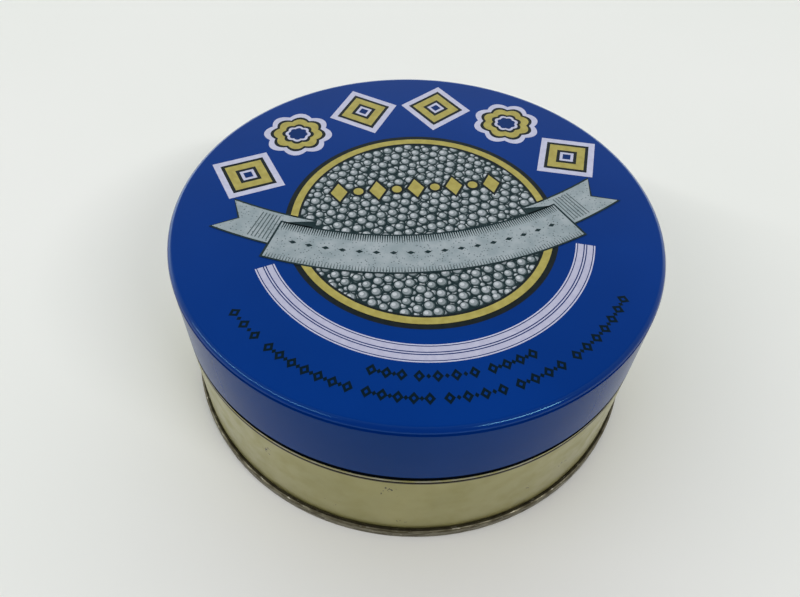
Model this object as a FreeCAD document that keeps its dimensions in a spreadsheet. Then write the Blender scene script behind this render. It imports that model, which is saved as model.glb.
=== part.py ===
"""Slip-lid caviar tin, shut and full: a pressed lid, a can body and its double-seamed bottom end.

Millimetres, +Z up, origin on the floor under the middle of the tin. Every piece is turned about
the Z axis from one half-section, whose corners are tied to the sheet of dimensions.
"""
import FreeCAD
import Part
import Sketcher
import os

# Driving dimensions in millimetres: name, value, what it is.
DIMENSIONS = [
    ("lid_radius", 60.0, "outside of the lid's skirt"),
    ("total_height", 50.0, "floor to the top of the lid's panel"),
    ("lid_depth", 21.4, "top of the lid's panel to its rolled edge"),
    ("sheet", 0.3, "thickness of the tinplate"),
    ("lid_shoulder", 1.5, "outside round between the lid's panel and its skirt"),
    ("hem_width", 0.8, "thickness of the lid's rolled edge"),
    ("hem_radius", 0.5, "round along the outside of the rolled edge"),
    ("hem_length", 2.8, "height of the rolled edge inside the skirt"),
    ("slip_clearance", 0.1, "between the lid's rolled edge and the neck of the body"),
    ("edge_gap", 0.15, "between the lid's rolled edge and the bead below it"),
    ("bead_radius", 0.4, "half-round bead of the body that the lid closes down to"),
    ("wall_inset", 0.1, "how far the body's wall stands inside the lid's skirt"),
    ("seam_height", 2.9, "height of the double seam at the bottom"),
    ("seam_gap", 0.06, "sealing compound between two folds of the seam"),
    ("seam_bend", 0.5, "round along the outside of the seam, top and bottom"),
    ("seam_bevel", 0.3, "slope along the seam's lower inside edge"),
    ("body_hook", 1.7, "length of the body's hook inside the seam"),
    ("cover_hook", 1.7, "length of the bottom end's hook inside the seam"),
    ("countersink", 3.4, "depth of the bottom panel inside the seam"),
    ("panel_bend", 1.0, "round between the bottom panel and its upright wall"),
    ("ring_inset", 9.0, "wall to the outer foot of the bottom panel's stamped ring"),
    ("ring_width", 4.0, "the ring's width at its foot"),
    ("ring_slope", 0.8, "width of each of the ring's two slopes"),
    ("ring_depth", 0.6, "how far the ring stands out of the bottom panel"),
]

# Levels above the floor.
LID_TOP = "dims.total_height"
LID_UNDERSIDE = "dims.total_height - dims.sheet"
LID_SHOULDER_FOOT = "dims.total_height - dims.lid_shoulder"
LID_EDGE = "dims.total_height - dims.lid_depth"
HEM_TOP = f"{LID_EDGE} + dims.hem_length"
BEAD_TOP = f"{LID_EDGE} - dims.edge_gap"
BEAD_FOOT = f"{BEAD_TOP} - 2 * dims.bead_radius"
PANEL_FLOOR = "dims.countersink"
PANEL_TOP = "dims.countersink + dims.sheet"
FLANGE_FLOOR = "dims.sheet + dims.seam_gap"
FLANGE_TOP = f"{FLANGE_FLOOR} + dims.sheet"
BODY_HOOK_TOP = f"{FLANGE_FLOOR} + dims.body_hook"
COVER_HOOK_FOOT = "dims.seam_height - dims.cover_hook"
COVER_FOLD_CEILING = "dims.seam_height - dims.sheet"
FOLD_SHOULDER = "dims.seam_height - dims.seam_bend"

# Radii, from the inside of the wall outwards through the folds of the double seam.
WALL = "dims.lid_radius - dims.wall_inset"
WALL_INSIDE = f"{WALL} - dims.sheet"
CHUCK_WALL = f"{WALL_INSIDE} - dims.seam_gap"
CHUCK_WALL_INSIDE = f"{CHUCK_WALL} - dims.sheet"
COVER_HOOK_INSIDE = f"{WALL} + dims.seam_gap"
COVER_HOOK_OUTSIDE = f"{COVER_HOOK_INSIDE} + dims.sheet"
BODY_HOOK_INSIDE = f"{COVER_HOOK_OUTSIDE} + dims.seam_gap"
BODY_HOOK_OUTSIDE = f"{BODY_HOOK_INSIDE} + dims.sheet"
SEAM_WALL_INSIDE = f"{BODY_HOOK_OUTSIDE} + dims.seam_gap"
SEAM_WALL = f"{SEAM_WALL_INSIDE} + dims.sheet"

# Radii of the lid and of the neck that it slips over.
HEM_INSIDE = "dims.lid_radius - dims.hem_width"
SKIRT_INSIDE = "dims.lid_radius - dims.sheet"
LID_PANEL = "dims.lid_radius - dims.lid_shoulder"
NECK = f"{HEM_INSIDE} - dims.slip_clearance"
NECK_SLOPE = "dims.lid_shoulder - dims.sheet"
BEAD_MIDDLE = f"{WALL} - dims.bead_radius"

# Radii of the ring stamped in the bottom panel, from its outer foot inwards.
RING_OUTER_FOOT = f"{WALL} - dims.ring_inset"
RING_OUTER_EDGE = f"{RING_OUTER_FOOT} - dims.ring_slope"
RING_INNER_FOOT = f"{RING_OUTER_FOOT} - dims.ring_width"
RING_INNER_EDGE = f"{RING_INNER_FOOT} + dims.ring_slope"


class Outline:
    """A closed half-section in a sketch, drawn corner by corner as (radius, level) expressions."""

    ORIGIN = (-1, 1)

    def __init__(self, sketch, radius, level):
        self.sketch = sketch
        self.corners = 0
        self.first = None
        self.last = None
        self.origin_place = (radius, level)
        self.place = self.origin_place

    def value(self, expression):
        """The length that an expression over the sheet stands for."""
        return float(self.sketch.evalExpression(expression))

    def point(self, radius, level):
        """A corner's starting place in the sketch's plane."""
        return FreeCAD.Vector(self.value(radius), self.value(level), 0)

    def tie(self, end, radius=None, level=None):
        """Hold one point of the sketch at a radius, a level or both."""
        for kind, expression in (("DistanceX", radius), ("DistanceY", level)):
            if expression is None:
                continue
            distance = self.value(expression)
            if distance == 0:
                axis = -2 if kind == "DistanceX" else -1
                self.sketch.addConstraint(Sketcher.Constraint("PointOnObject", *end, axis))
                continue
            index = self.sketch.addConstraint(
                Sketcher.Constraint(kind, *self.ORIGIN, *end, distance))
            name = f"{kind[-1].lower()}{self.corners}_{index}"
            self.sketch.renameConstraint(index, name)
            self.sketch.setExpression(f"Constraints.{name}", expression)

    def join(self, start, end, radius, level):
        """Hang a new edge on the last one and hold its far end at a corner."""
        if self.last is None:
            self.first = start
            self.tie(start, *self.place)
        else:
            self.sketch.addConstraint(Sketcher.Constraint("Coincident", *self.last, *start))
        self.corners += 1
        if (radius, level) != self.origin_place:
            self.tie(end, radius, level)
        self.last = end
        self.place = (radius, level)

    def line_to(self, radius, level):
        """A straight run to the next corner."""
        run = Part.LineSegment(self.point(*self.place), self.point(radius, level))
        edge = self.sketch.addGeometry(run, False)
        self.join((edge, 1), (edge, 2), radius, level)
        return self

    def arc_to(self, radius, level, middle, clockwise=False):
        """A round to the next corner about a middle, held by the way its chord leaves free."""
        start = self.point(*self.place)
        end = self.point(radius, level)
        centre = self.point(*middle)
        chord = end - start
        turn_from, turn_to = (end, start) if clockwise else (start, end)
        circle = Part.Circle(centre, FreeCAD.Vector(0, 0, 1), start.distanceToPoint(centre))
        arc = Part.ArcOfCircle(circle, circle.parameter(turn_from), circle.parameter(turn_to))
        edge = self.sketch.addGeometry(arc, False)
        ends = ((edge, 2), (edge, 1)) if clockwise else ((edge, 1), (edge, 2))
        self.join(*ends, radius, level)
        if abs(chord.x) >= abs(chord.y):
            self.tie((edge, 3), level=middle[1])
        else:
            self.tie((edge, 3), radius=middle[0])
        return self

    def close(self):
        """Run back to the first corner."""
        self.line_to(*self.origin_place)
        self.sketch.addConstraint(Sketcher.Constraint("Coincident", *self.last, *self.first))


def make_sheet(document):
    """The sheet of driving dimensions, one row each."""
    sheet = document.addObject("Spreadsheet::Sheet", "dims")
    for row, (name, value, meaning) in enumerate(DIMENSIONS, start=1):
        sheet.set(f"A{row}", name)
        sheet.set(f"B{row}", str(value))
        sheet.setAlias(f"B{row}", name)
        sheet.set(f"C{row}", meaning)
    document.recompute()
    return sheet


def turned_body(document, label, draw):
    """A body turned about the Z axis from the half-section that draw makes."""
    body = document.addObject("PartDesign::Body", f"{label}_body")
    body.Label = label
    sketch = body.newObject("Sketcher::SketchObject", f"{label}_section")
    upright = next(plane for plane in body.Origin.OriginFeatures if plane.Role == "XZ_Plane")
    sketch.AttachmentSupport = [(upright, "")]
    sketch.MapMode = "FlatFace"
    draw(sketch)
    turn = body.newObject("PartDesign::Revolution", f"{label}_turn")
    turn.Profile = sketch
    turn.ReferenceAxis = (sketch, ["V_Axis"])
    turn.Angle = 360
    body.Tip = turn
    return body


def draw_lid(sketch):
    """Flat panel, rounded shoulder, straight skirt, and the edge rolled in and back up."""
    outline = Outline(sketch, "0", LID_TOP)
    outline.line_to(LID_PANEL, LID_TOP)
    outline.arc_to("dims.lid_radius", LID_SHOULDER_FOOT, (LID_PANEL, LID_SHOULDER_FOOT),
                   clockwise=True)
    outline.line_to("dims.lid_radius", f"{LID_EDGE} + dims.hem_radius")
    outline.arc_to("dims.lid_radius - dims.hem_radius", LID_EDGE,
                   ("dims.lid_radius - dims.hem_radius", f"{LID_EDGE} + dims.hem_radius"),
                   clockwise=True)
    outline.line_to(HEM_INSIDE, LID_EDGE)
    outline.line_to(HEM_INSIDE, HEM_TOP)
    outline.line_to(SKIRT_INSIDE, HEM_TOP)
    outline.line_to(SKIRT_INSIDE, LID_SHOULDER_FOOT)
    outline.arc_to(LID_PANEL, LID_UNDERSIDE, (LID_PANEL, LID_SHOULDER_FOOT))
    outline.line_to("0", LID_UNDERSIDE)
    outline.close()


def draw_can(sketch):
    """The filled can: hook in the seam, straight wall, bead, and the neck inside the lid."""
    outline = Outline(sketch, "0", PANEL_TOP)
    outline.line_to(WALL_INSIDE, PANEL_TOP)
    outline.line_to(WALL_INSIDE, FLANGE_FLOOR)
    outline.line_to(BODY_HOOK_OUTSIDE, FLANGE_FLOOR)
    outline.line_to(BODY_HOOK_OUTSIDE, BODY_HOOK_TOP)
    outline.line_to(BODY_HOOK_INSIDE, BODY_HOOK_TOP)
    outline.line_to(BODY_HOOK_INSIDE, FLANGE_TOP)
    outline.line_to(WALL, FLANGE_TOP)
    outline.line_to(WALL, f"{BEAD_FOOT} - dims.bead_radius")
    outline.line_to(BEAD_MIDDLE, BEAD_FOOT)
    outline.arc_to(BEAD_MIDDLE, BEAD_TOP, (BEAD_MIDDLE, f"{BEAD_FOOT} + dims.bead_radius"))
    outline.line_to(NECK, BEAD_TOP)
    outline.line_to(NECK, f"{LID_UNDERSIDE} - ({NECK_SLOPE})")
    outline.line_to(f"{NECK} - ({NECK_SLOPE})", LID_UNDERSIDE)
    outline.line_to("0", LID_UNDERSIDE)
    outline.close()


def draw_bottom_end(sketch):
    """Sunk panel with a stamped ring, upright chuck wall, and the seam folded round the can's hook."""
    outline = Outline(sketch, "0", PANEL_FLOOR)
    draw_ring(outline, PANEL_FLOOR, outwards=True)
    chuck_bend = f"{CHUCK_WALL_INSIDE} - dims.panel_bend"
    outline.line_to(chuck_bend, PANEL_FLOOR)
    outline.arc_to(CHUCK_WALL_INSIDE, f"{PANEL_FLOOR} - dims.panel_bend",
                   (chuck_bend, f"{PANEL_FLOOR} - dims.panel_bend"), clockwise=True)
    outline.line_to(CHUCK_WALL_INSIDE, "dims.seam_bevel")
    outline.line_to(f"{CHUCK_WALL_INSIDE} + dims.seam_bevel", "0")
    outline.line_to(f"{SEAM_WALL} - dims.seam_bend", "0")
    outline.arc_to(SEAM_WALL, "dims.seam_bend", (f"{SEAM_WALL} - dims.seam_bend", "dims.seam_bend"))
    outline.line_to(SEAM_WALL, FOLD_SHOULDER)
    outline.arc_to(f"{SEAM_WALL} - dims.seam_bend", "dims.seam_height",
                   (f"{SEAM_WALL} - dims.seam_bend", FOLD_SHOULDER))
    outline.line_to(COVER_HOOK_INSIDE, "dims.seam_height")
    outline.line_to(COVER_HOOK_INSIDE, COVER_HOOK_FOOT)
    outline.line_to(COVER_HOOK_OUTSIDE, COVER_HOOK_FOOT)
    outline.line_to(COVER_HOOK_OUTSIDE, COVER_FOLD_CEILING)
    outline.line_to(SEAM_WALL_INSIDE, COVER_FOLD_CEILING)
    outline.line_to(SEAM_WALL_INSIDE, "dims.sheet")
    outline.line_to(CHUCK_WALL, "dims.sheet")
    outline.line_to(CHUCK_WALL, PANEL_TOP)
    draw_ring(outline, PANEL_TOP, outwards=False)
    outline.line_to("0", PANEL_TOP)
    outline.close()


def draw_ring(outline, face, outwards):
    """The stamped ring across one face of the bottom panel, drawn outwards or back inwards."""
    sunk = f"{face} - dims.ring_depth"
    corners = [(RING_INNER_FOOT, face), (RING_INNER_EDGE, sunk),
               (RING_OUTER_EDGE, sunk), (RING_OUTER_FOOT, face)]
    for corner in corners if outwards else reversed(corners):
        outline.line_to(*corner)


def check(document, pieces):
    """Stop if any feature failed or any piece is not a sound solid."""
    for feature in document.Objects:
        if "Invalid" in feature.State or "Error" in feature.State:
            raise RuntimeError(f"{feature.Label} failed: {feature.State}")
    for piece in pieces:
        if piece.Shape.isNull() or not piece.Shape.isValid() or len(piece.Shape.Solids) != 1:
            raise RuntimeError(f"{piece.Label} is not one sound solid")


def main():
    """Build the tin and write each piece to its own file."""
    document = FreeCAD.newDocument("CaviarTin")
    make_sheet(document)
    pieces = [
        turned_body(document, "lid", draw_lid),
        turned_body(document, "can", draw_can),
        turned_body(document, "bottom_end", draw_bottom_end),
    ]
    document.recompute()
    check(document, pieces)
    os.makedirs("parts", exist_ok=True)
    for piece in pieces:
        piece.Shape.exportStep(f"parts/{piece.Label}.step")


main()
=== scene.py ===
"""Looks of a shut slip-lid caviar tin: printed blue lid, gold-lacquered can and worn bottom seam.

Lengths are written in millimetres and turned to metres once, by MM. The lid's print is laid out
in the lid's plane with +Y towards the top of the print, in thin layers of ink one over another.
"""

import logging
import math
from dataclasses import dataclass, field
from enum import Enum
from functools import cache
from typing import Callable, Iterable, Sequence

import bmesh
import bpy
from bpy.types import Curve, ID, Material, Mesh, Node, NodeSocket, NodeTree, Object
from mathutils import Matrix, Vector, noise


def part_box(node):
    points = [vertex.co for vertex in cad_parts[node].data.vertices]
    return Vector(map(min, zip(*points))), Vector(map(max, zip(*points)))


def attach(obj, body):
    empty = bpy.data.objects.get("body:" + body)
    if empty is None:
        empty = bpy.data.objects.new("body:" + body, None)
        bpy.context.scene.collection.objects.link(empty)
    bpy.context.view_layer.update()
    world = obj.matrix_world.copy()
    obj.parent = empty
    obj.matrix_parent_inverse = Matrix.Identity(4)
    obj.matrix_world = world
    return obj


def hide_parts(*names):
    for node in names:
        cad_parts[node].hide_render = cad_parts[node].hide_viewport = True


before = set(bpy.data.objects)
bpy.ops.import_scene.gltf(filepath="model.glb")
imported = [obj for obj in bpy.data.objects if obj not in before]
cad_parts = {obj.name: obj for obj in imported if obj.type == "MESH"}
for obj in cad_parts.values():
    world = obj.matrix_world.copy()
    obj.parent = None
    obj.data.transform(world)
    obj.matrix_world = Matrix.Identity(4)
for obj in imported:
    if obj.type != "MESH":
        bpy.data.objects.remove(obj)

MM = 0.001
BODY = "root"
LOG = logging.getLogger("tin")
# Corners nearer than this are one, in metres, and edges sharper than this show as edges.
JOINED = 1e-6
SHARP = math.radians(40)
# How many steps a full turn of a pressed piece takes.
TURN_STEPS = 360

Point = tuple[float, float]
Rgba = tuple[float, float, float, float]


# Colours and node helpers


def linear(code: str) -> Rgba:
    """Turn an sRGB hex colour into the linear colour that a shader takes.

    Args:
        code: Six hex digits, such as "B9A862".

    Returns:
        Red, green, blue and an alpha of one.
    """
    channels = [int(code[start:start + 2], 16) / 255 for start in (0, 2, 4)]
    curved = [c / 12.92 if c <= 0.04045 else ((c + 0.055) / 1.055) ** 2.4 for c in channels]
    return (curved[0], curved[1], curved[2], 1.0)


def per_mm(size: float) -> float:
    """Scale that makes a texture's pattern one given number of millimetres across."""
    return 1 / (size * MM)


def add_node(tree: NodeTree, kind: str, inputs: dict | None = None, **settings: object) -> Node:
    """Add a node, with its settings, values and links.

    Args:
        tree: The tree that the node goes into.
        kind: The node's Blender type.
        inputs: Values or output sockets, by the name or number of the input they go to.
        **settings: The node's own properties.

    Returns:
        The new node.
    """
    node = tree.nodes.new(kind)
    for name, value in settings.items():
        setattr(node, name, value)
    for key, value in (inputs or {}).items():
        if isinstance(value, NodeSocket):
            tree.links.new(value, node.inputs[key])
        else:
            node.inputs[key].default_value = value
    return node


def paint(tree: NodeTree, ground: str | Rgba | NodeSocket,
          coats: Iterable[tuple[NodeSocket, str | Rgba | NodeSocket]]) -> NodeSocket:
    """Lay coats of colour over a ground.

    Args:
        tree: The tree that the coats go into.
        ground: The first colour: hex digits, a linear colour or a socket.
        coats: Each coat's strength and colour, in order.

    Returns:
        The colour that shows.
    """
    shown = linear(ground) if isinstance(ground, str) else ground
    for strength, coat in coats:
        colour = linear(coat) if isinstance(coat, str) else coat
        shown = add_node(tree, "ShaderNodeMix", {0: strength, 6: shown, 7: colour},
                         data_type="RGBA").outputs[2]
    return shown


def patches(tree: NodeTree, place: NodeSocket, size: float, low: float, high: float,
            detail: float = 3.0) -> NodeSocket:
    """Soft patches of a given size, as worn and uneven surfaces have.

    Args:
        tree: The tree that the patches go into.
        place: Where each point is.
        size: A patch's size in millimetres.
        low: How strong the noise is where a patch starts.
        high: How strong it is where the patch is full.
        detail: How many finer layers the noise has.

    Returns:
        The patches' strength, from 0 to 1.
    """
    cloud = add_node(tree, "ShaderNodeTexNoise",
                     {"Vector": place, "Scale": per_mm(size), "Detail": detail})
    shown = add_node(tree, "ShaderNodeMapRange",
                     {"Value": cloud.outputs["Fac"], "From Min": low, "From Max": high})
    return shown.outputs["Result"]


def relief(tree: NodeTree, place: NodeSocket,
           layers: Iterable[tuple[float, float, float, float]]) -> NodeSocket:
    """Normal of a surface with soft bumps of several sizes.

    Args:
        tree: The tree that the bumps go into.
        place: Where each point is.
        layers: Each layer's bump size and depth in millimetres, strength and detail.

    Returns:
        The bumped normal.
    """
    bumps = None
    for size, depth, strength, detail in layers:
        height = add_node(tree, "ShaderNodeTexNoise",
                          {"Vector": place, "Scale": per_mm(size), "Detail": detail})
        below = {} if bumps is None else {"Normal": bumps}
        bumps = add_node(tree, "ShaderNodeBump",
                         {"Height": height.outputs["Fac"], "Distance": depth * MM,
                          "Strength": strength, **below}).outputs["Normal"]
    return bumps


# Long shallow waves and fine orange peel of pressed tinplate under baked varnish.
SHEET_WAVINESS = ((22.0, 0.05, 0.6, 1.0), (2.4, 0.012, 0.8, 2.0))


# Finishes


@dataclass(frozen=True)
class Finish:
    """A surface finish, made into one material with one shader."""

    name: str

    def make(self) -> Material:
        """Build the finish's material.

        Returns:
            The material.
        """
        material = bpy.data.materials.new(self.name)
        material.use_nodes = True
        tree = material.node_tree
        tree.nodes.clear()
        place = add_node(tree, "ShaderNodeTexCoord").outputs["Object"]
        shader = add_node(tree, "ShaderNodeBsdfPrincipled", self.inputs(tree, place))
        add_node(tree, "ShaderNodeOutputMaterial", {"Surface": shader.outputs["BSDF"]})
        return material

    def inputs(self, tree: NodeTree, place: NodeSocket) -> dict[str, object]:
        """The shader's inputs, worked out from each point's place on the tin."""
        raise NotImplementedError


@dataclass(frozen=True)
class PrintInk(Finish):
    """Litho ink baked on tinplate under one clear gloss varnish.

    The ink's colour is slightly uneven, as a worn blanket lays it down, and the varnish over it
    gives every colour of the lid the same cool gloss.
    """

    colour: str
    uneven: str
    blotch: float = 1.6
    roughness: float = 0.16
    gloss: float = 0.13
    reflected: str = "69EAFF"

    def tone(self, tree: NodeTree, place: NodeSocket) -> NodeSocket:
        """The ink's colour, with soft blotches of its second colour."""
        blotches = patches(tree, place, self.blotch, 0.35, 0.72)
        return paint(tree, self.colour, [(blotches, self.uneven)])

    def inputs(self, tree: NodeTree, place: NodeSocket) -> dict[str, object]:
        """The ink's tone under its varnish."""
        return {"Base Color": self.tone(tree, place), "Roughness": self.roughness,
                "Specular IOR Level": self.gloss, "Specular Tint": linear(self.reflected),
                "Normal": relief(tree, place, SHEET_WAVINESS)}


@dataclass(frozen=True)
class StippledInk(PrintInk):
    """An ink with a fine stipple of darker dots, as an engraver shades a plain field.

    A real stipple is finer, and the spacing here is as coarse as it needs to show.
    """

    dots: str = "5F696D"
    spacing: float = 0.75
    dot_edge: Point = (0.26, 0.16)

    def tone(self, tree: NodeTree, place: NodeSocket) -> NodeSocket:
        """The ink's colour, darker in each dot of the stipple."""
        cells = add_node(tree, "ShaderNodeTexVoronoi",
                         {"Vector": place, "Scale": per_mm(self.spacing)})
        dot = add_node(tree, "ShaderNodeMapRange",
                       {"Value": cells.outputs["Distance"], "From Min": self.dot_edge[0],
                        "From Max": self.dot_edge[1]})
        return paint(tree, super().tone(tree, place), [(dot.outputs["Result"], self.dots)])


@dataclass(frozen=True)
class GoldLacquer(Finish):
    """Gold stoving lacquer over bright tinplate, as on the inside and wall of food cans.

    The clear yellow film over rolled metal gives a satin olive gold, with dark specks where the
    film is chipped, a pale line along the bead that is partly worn lacquer and partly a painted
    highlight, and dirt with painted shade in the two crevices.
    """

    bead_level: float
    bead_radius: float
    seam_level: float
    chip_spacing: float = 15.0
    chip_raggedness: float = 0.9
    chip_edge: Point = (0.51, 0.48)
    crevice_widths: Point = (0.5, 0.24)

    def inputs(self, tree: NodeTree, place: NodeSocket) -> dict[str, object]:
        """The film with chips, worn bead and painted highlight, crevice dirt and painted shade."""
        level = add_node(tree, "ShaderNodeSeparateXYZ", {0: place}).outputs["Z"]
        # Pale line along the bead: worn lacquer, and a painted highlight where the round bead
        # catches light.
        on_bead = self.band(tree, level, self.bead_level + 0.1, 0.6 * self.bead_radius)
        worn_and_highlight = add_node(tree, "ShaderNodeMath",
                          {0: on_bead, 1: patches(tree, place, 3.0, 0.35, 0.6)},
                          operation="MULTIPLY")
        # Dark bands under the bead and above the seam: dirt, and painted shade in the two
        # crevices.
        shelf, seam = self.bead_level - self.bead_radius - 0.2, self.seam_level - 0.05
        dirt_and_shade = add_node(tree, "ShaderNodeMath",
                        {0: self.band(tree, level, shelf, self.crevice_widths[0]),
                         1: self.band(tree, level, seam, self.crevice_widths[1])},
                        operation="MAXIMUM")
        colour = paint(tree, "97925A", [(patches(tree, place, 14.0, 0.3, 0.7), "A09A62"),
                                        (self.chips(tree, place), "120D04"),
                                        (worn_and_highlight.outputs[0], "A3A191"),
                                        (dirt_and_shade.outputs[0], "241D0A")])
        gloss = add_node(tree, "ShaderNodeMapRange",
                         {"Value": patches(tree, place, 5.0, 0.4, 0.75, 5.0), "To Min": 0.3,
                          "To Max": 0.5})
        return {"Base Color": colour, "Metallic": 0.7, "Roughness": gloss.outputs["Result"],
                "Coat Weight": 0.2, "Coat Roughness": 0.15,
                "Normal": relief(tree, place, SHEET_WAVINESS)}

    def chips(self, tree: NodeTree, place: NodeSocket) -> NodeSocket:
        """Clusters of small ragged chips in the film, some centimetres apart.

        Args:
            tree: The tree that the chips go into.
            place: Where each point is.

        Returns:
            One in a chip and nothing beside it.
        """
        cells = add_node(tree, "ShaderNodeTexVoronoi",
                         {"Vector": place, "Scale": per_mm(self.chip_spacing)})
        ragged = add_node(tree, "ShaderNodeTexNoise",
                          {"Vector": place, "Scale": per_mm(self.chip_raggedness),
                           "Detail": 3.0})
        reach = add_node(tree, "ShaderNodeMath",
                         {0: cells.outputs["Distance"], 1: ragged.outputs["Fac"]})
        return add_node(tree, "ShaderNodeMapRange",
                        {"Value": reach.outputs[0], "From Min": self.chip_edge[0],
                         "From Max": self.chip_edge[1]}).outputs["Result"]

    def band(self, tree: NodeTree, level: NodeSocket, middle: float, half: float) -> NodeSocket:
        """Strength of one about a level, falling to nothing over a given half height.

        Args:
            tree: The tree that the band goes into.
            level: Each point's height.
            middle: The band's height in millimetres.
            half: Its half height in millimetres.

        Returns:
            The band's strength.
        """
        away = add_node(tree, "ShaderNodeMath", {0: level, 1: middle * MM},
                        operation="SUBTRACT").outputs[0]
        size = add_node(tree, "ShaderNodeMath", {0: away}, operation="ABSOLUTE").outputs[0]
        return add_node(tree, "ShaderNodeMapRange",
                        {"Value": size, "From Min": half * MM,
                         "From Max": half * 0.6 * MM}).outputs["Result"]


@dataclass(frozen=True)
class WornTinplate(Finish):
    """Bare tinplate of a can's seam, scuffed by shelves and dulled to a brownish grey.

    The rolls that closed the seam left fine streaks round it, and its top is dark with dirt and
    painted shade, where it tucks under the wall.
    """

    top_level: float
    streak: float = 6.0

    def inputs(self, tree: NodeTree, place: NodeSocket) -> dict[str, object]:
        """The streaked metal, duller where it is darker."""
        rolled = add_node(tree, "ShaderNodeMapping",
                          {"Vector": place, "Scale": (1.0, 1.0, self.streak)},
                          vector_type="POINT").outputs["Vector"]
        dull = patches(tree, rolled, 3.4, 0.38, 0.64, 5.0)
        level = add_node(tree, "ShaderNodeSeparateXYZ", {0: place}).outputs["Z"]
        # Darker along the seam's top: dirt, and painted shade of the crevice by the wall.
        dirt_and_shade = add_node(tree, "ShaderNodeMapRange",
                        {"Value": level, "From Min": (self.top_level - 0.05) * MM,
                         "From Max": self.top_level * MM})
        colour = paint(tree, "7D7864", [(dull, "4B4532"),
                                        (patches(tree, rolled, 1.6, 0.63, 0.72), "C2BFB0"),
                                        (dirt_and_shade.outputs["Result"], "211D10")])
        gloss = add_node(tree, "ShaderNodeMapRange",
                         {"Value": dull, "To Min": 0.36, "To Max": 0.6})
        return {"Base Color": colour, "Metallic": 0.7, "Roughness": gloss.outputs["Result"],
                "Normal": relief(tree, rolled, [(1.2, 0.05, 0.9, 4.0)])}


@dataclass(frozen=True)
class PaleTable(Finish):
    """Matt painted board, a plain pale floor with a faint unevenness."""

    def inputs(self, tree: NodeTree, place: NodeSocket) -> dict[str, object]:
        """The board's paint."""
        uneven = patches(tree, place, 160.0, 0.3, 0.7)
        return {"Base Color": paint(tree, "ECEDEA", [(uneven, "EFEFED")]), "Roughness": 0.6,
                "Specular IOR Level": 0.3}


class Ink(Enum):
    """The inks of the lid's print."""

    GOLD = PrintInk("gold_litho_ink", "A2954E", "B2A65C")
    WHITE = PrintInk("opaque_white_ink", "BBBAD3", "C6C6DE")
    STRIPE = PrintInk("screened_white_ink", "B2B1CB", "BDBCD3", blotch=1.2)
    BLACK = PrintInk("black_litho_ink", "191719", "211F20")
    BLUE = PrintInk("deep_blue_ink", "03205F", "052668", blotch=6.0)
    GROUND = PrintInk("slate_litho_ink", "1C2629", "273134")
    GRAIN = PrintInk("pale_grey_ink", "7E868A", "A0A5AC", blotch=2.2)
    SHADE = PrintInk("mid_grey_ink", "485255", "5A6366", blotch=2.2)
    GLINT = PrintInk("light_grey_ink", "B9BDC3", "C6C9CF")
    SILVER = StippledInk("silver_grey_ink", "8F9AA0", "A4ACB2", blotch=3.0)
    SMALL_TYPE = PrintInk("blue_black_ink", "060D18", "0A1322")

    @cache
    def material(self) -> Material:
        """The ink's one material, made when it is first asked for."""
        return self.value.make()


# Mesh helpers


def arc(middle: Point, radius: float, start: float, end: float, steps: int) -> list[Point]:
    """Points along a circle's arc.

    Args:
        middle: The circle's centre.
        radius: The circle's radius.
        start: First angle in degrees, counted from the first axis.
        end: Last angle in degrees.
        steps: How many equal steps the arc takes.

    Returns:
        The points, both ends included.
    """
    angles = [math.radians(start + (end - start) * step / steps) for step in range(steps + 1)]
    return [(middle[0] + radius * math.cos(a), middle[1] + radius * math.sin(a)) for a in angles]


def lozenge(wide: float, tall: float) -> list[Point]:
    """Outline of a lozenge about its middle, by its half width and half height."""
    return [(wide, 0), (0, tall), (-wide, 0), (0, -tall)]


def in_scene(name: str, data: ID) -> Object:
    """Put a mesh, curve, lamp or camera in the scene as an object of a given name."""
    thing = bpy.data.objects.new(name, data)
    bpy.context.scene.collection.objects.link(thing)
    return thing


def link_mesh(name: str, mesh: Mesh, material: Material) -> Object:
    """Put a finished mesh in the scene under a name, with one material."""
    mesh.materials.clear()
    mesh.materials.append(material)
    return in_scene(name, mesh)


def stand_for(piece: Object, node: str) -> Object:
    """Ride a finished piece on the tin, in place of a CAD node."""
    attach(piece, BODY)
    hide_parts(node)
    return piece


def turned_mesh(name: str, section: Sequence[Point], wobble: Callable[[Vector], float]) -> Mesh:
    """Turn a closed half-section about the tin's axis.

    Args:
        name: The mesh's name.
        section: Corners as (radius, level) in millimetres, closed from the last to the first.
        wobble: Gives how far a point of the surface stands out from true, in millimetres.

    Returns:
        A closed mesh with smooth faces and its sharp edges marked.
    """
    shape = bmesh.new()
    rings: list[list[bmesh.types.BMVert]] = []
    for radius, level in section:
        turns = TURN_STEPS if radius > 0 else 1
        ring = []
        for step in range(turns):
            angle = 2 * math.pi * step / TURN_STEPS
            place = Vector((radius * math.cos(angle), radius * math.sin(angle), level))
            if radius > 0:
                reach = 1 + wobble(place) / radius
                place = Vector((place.x * reach, place.y * reach, level))
            ring.append(shape.verts.new(place * MM))
        rings.append(ring)
    for index, ring in enumerate(rings):
        following = rings[(index + 1) % len(rings)]
        if len(ring) == 1 and len(following) == 1:
            continue
        for step in range(TURN_STEPS):
            after = (step + 1) % TURN_STEPS
            corners = [ring[step % len(ring)], ring[after % len(ring)],
                       following[after % len(following)], following[step % len(following)]]
            shape.faces.new(list(dict.fromkeys(corners)))
    bmesh.ops.recalc_face_normals(shape, faces=shape.faces)
    mesh = bpy.data.meshes.new(name)
    shape.to_mesh(mesh)
    shape.free()
    mesh.polygons.foreach_set("use_smooth", [True] * len(mesh.polygons))
    mesh.set_sharp_from_angle(angle=SHARP)
    return mesh


def line_curve(name: str, lines: Iterable[Sequence[Point]], closed: bool) -> Curve:
    """Straight lines in the lid's plane, given in millimetres, as a curve's data."""
    curve = bpy.data.curves.new(name, "CURVE")
    for line in lines:
        spline = curve.splines.new("POLY")
        spline.points.add(len(line) - 1)
        for corner, (across, up) in zip(spline.points, line):
            corner.co = (across * MM, up * MM, 0.0, 1.0)
        spline.use_cyclic_u = closed
    return curve


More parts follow.
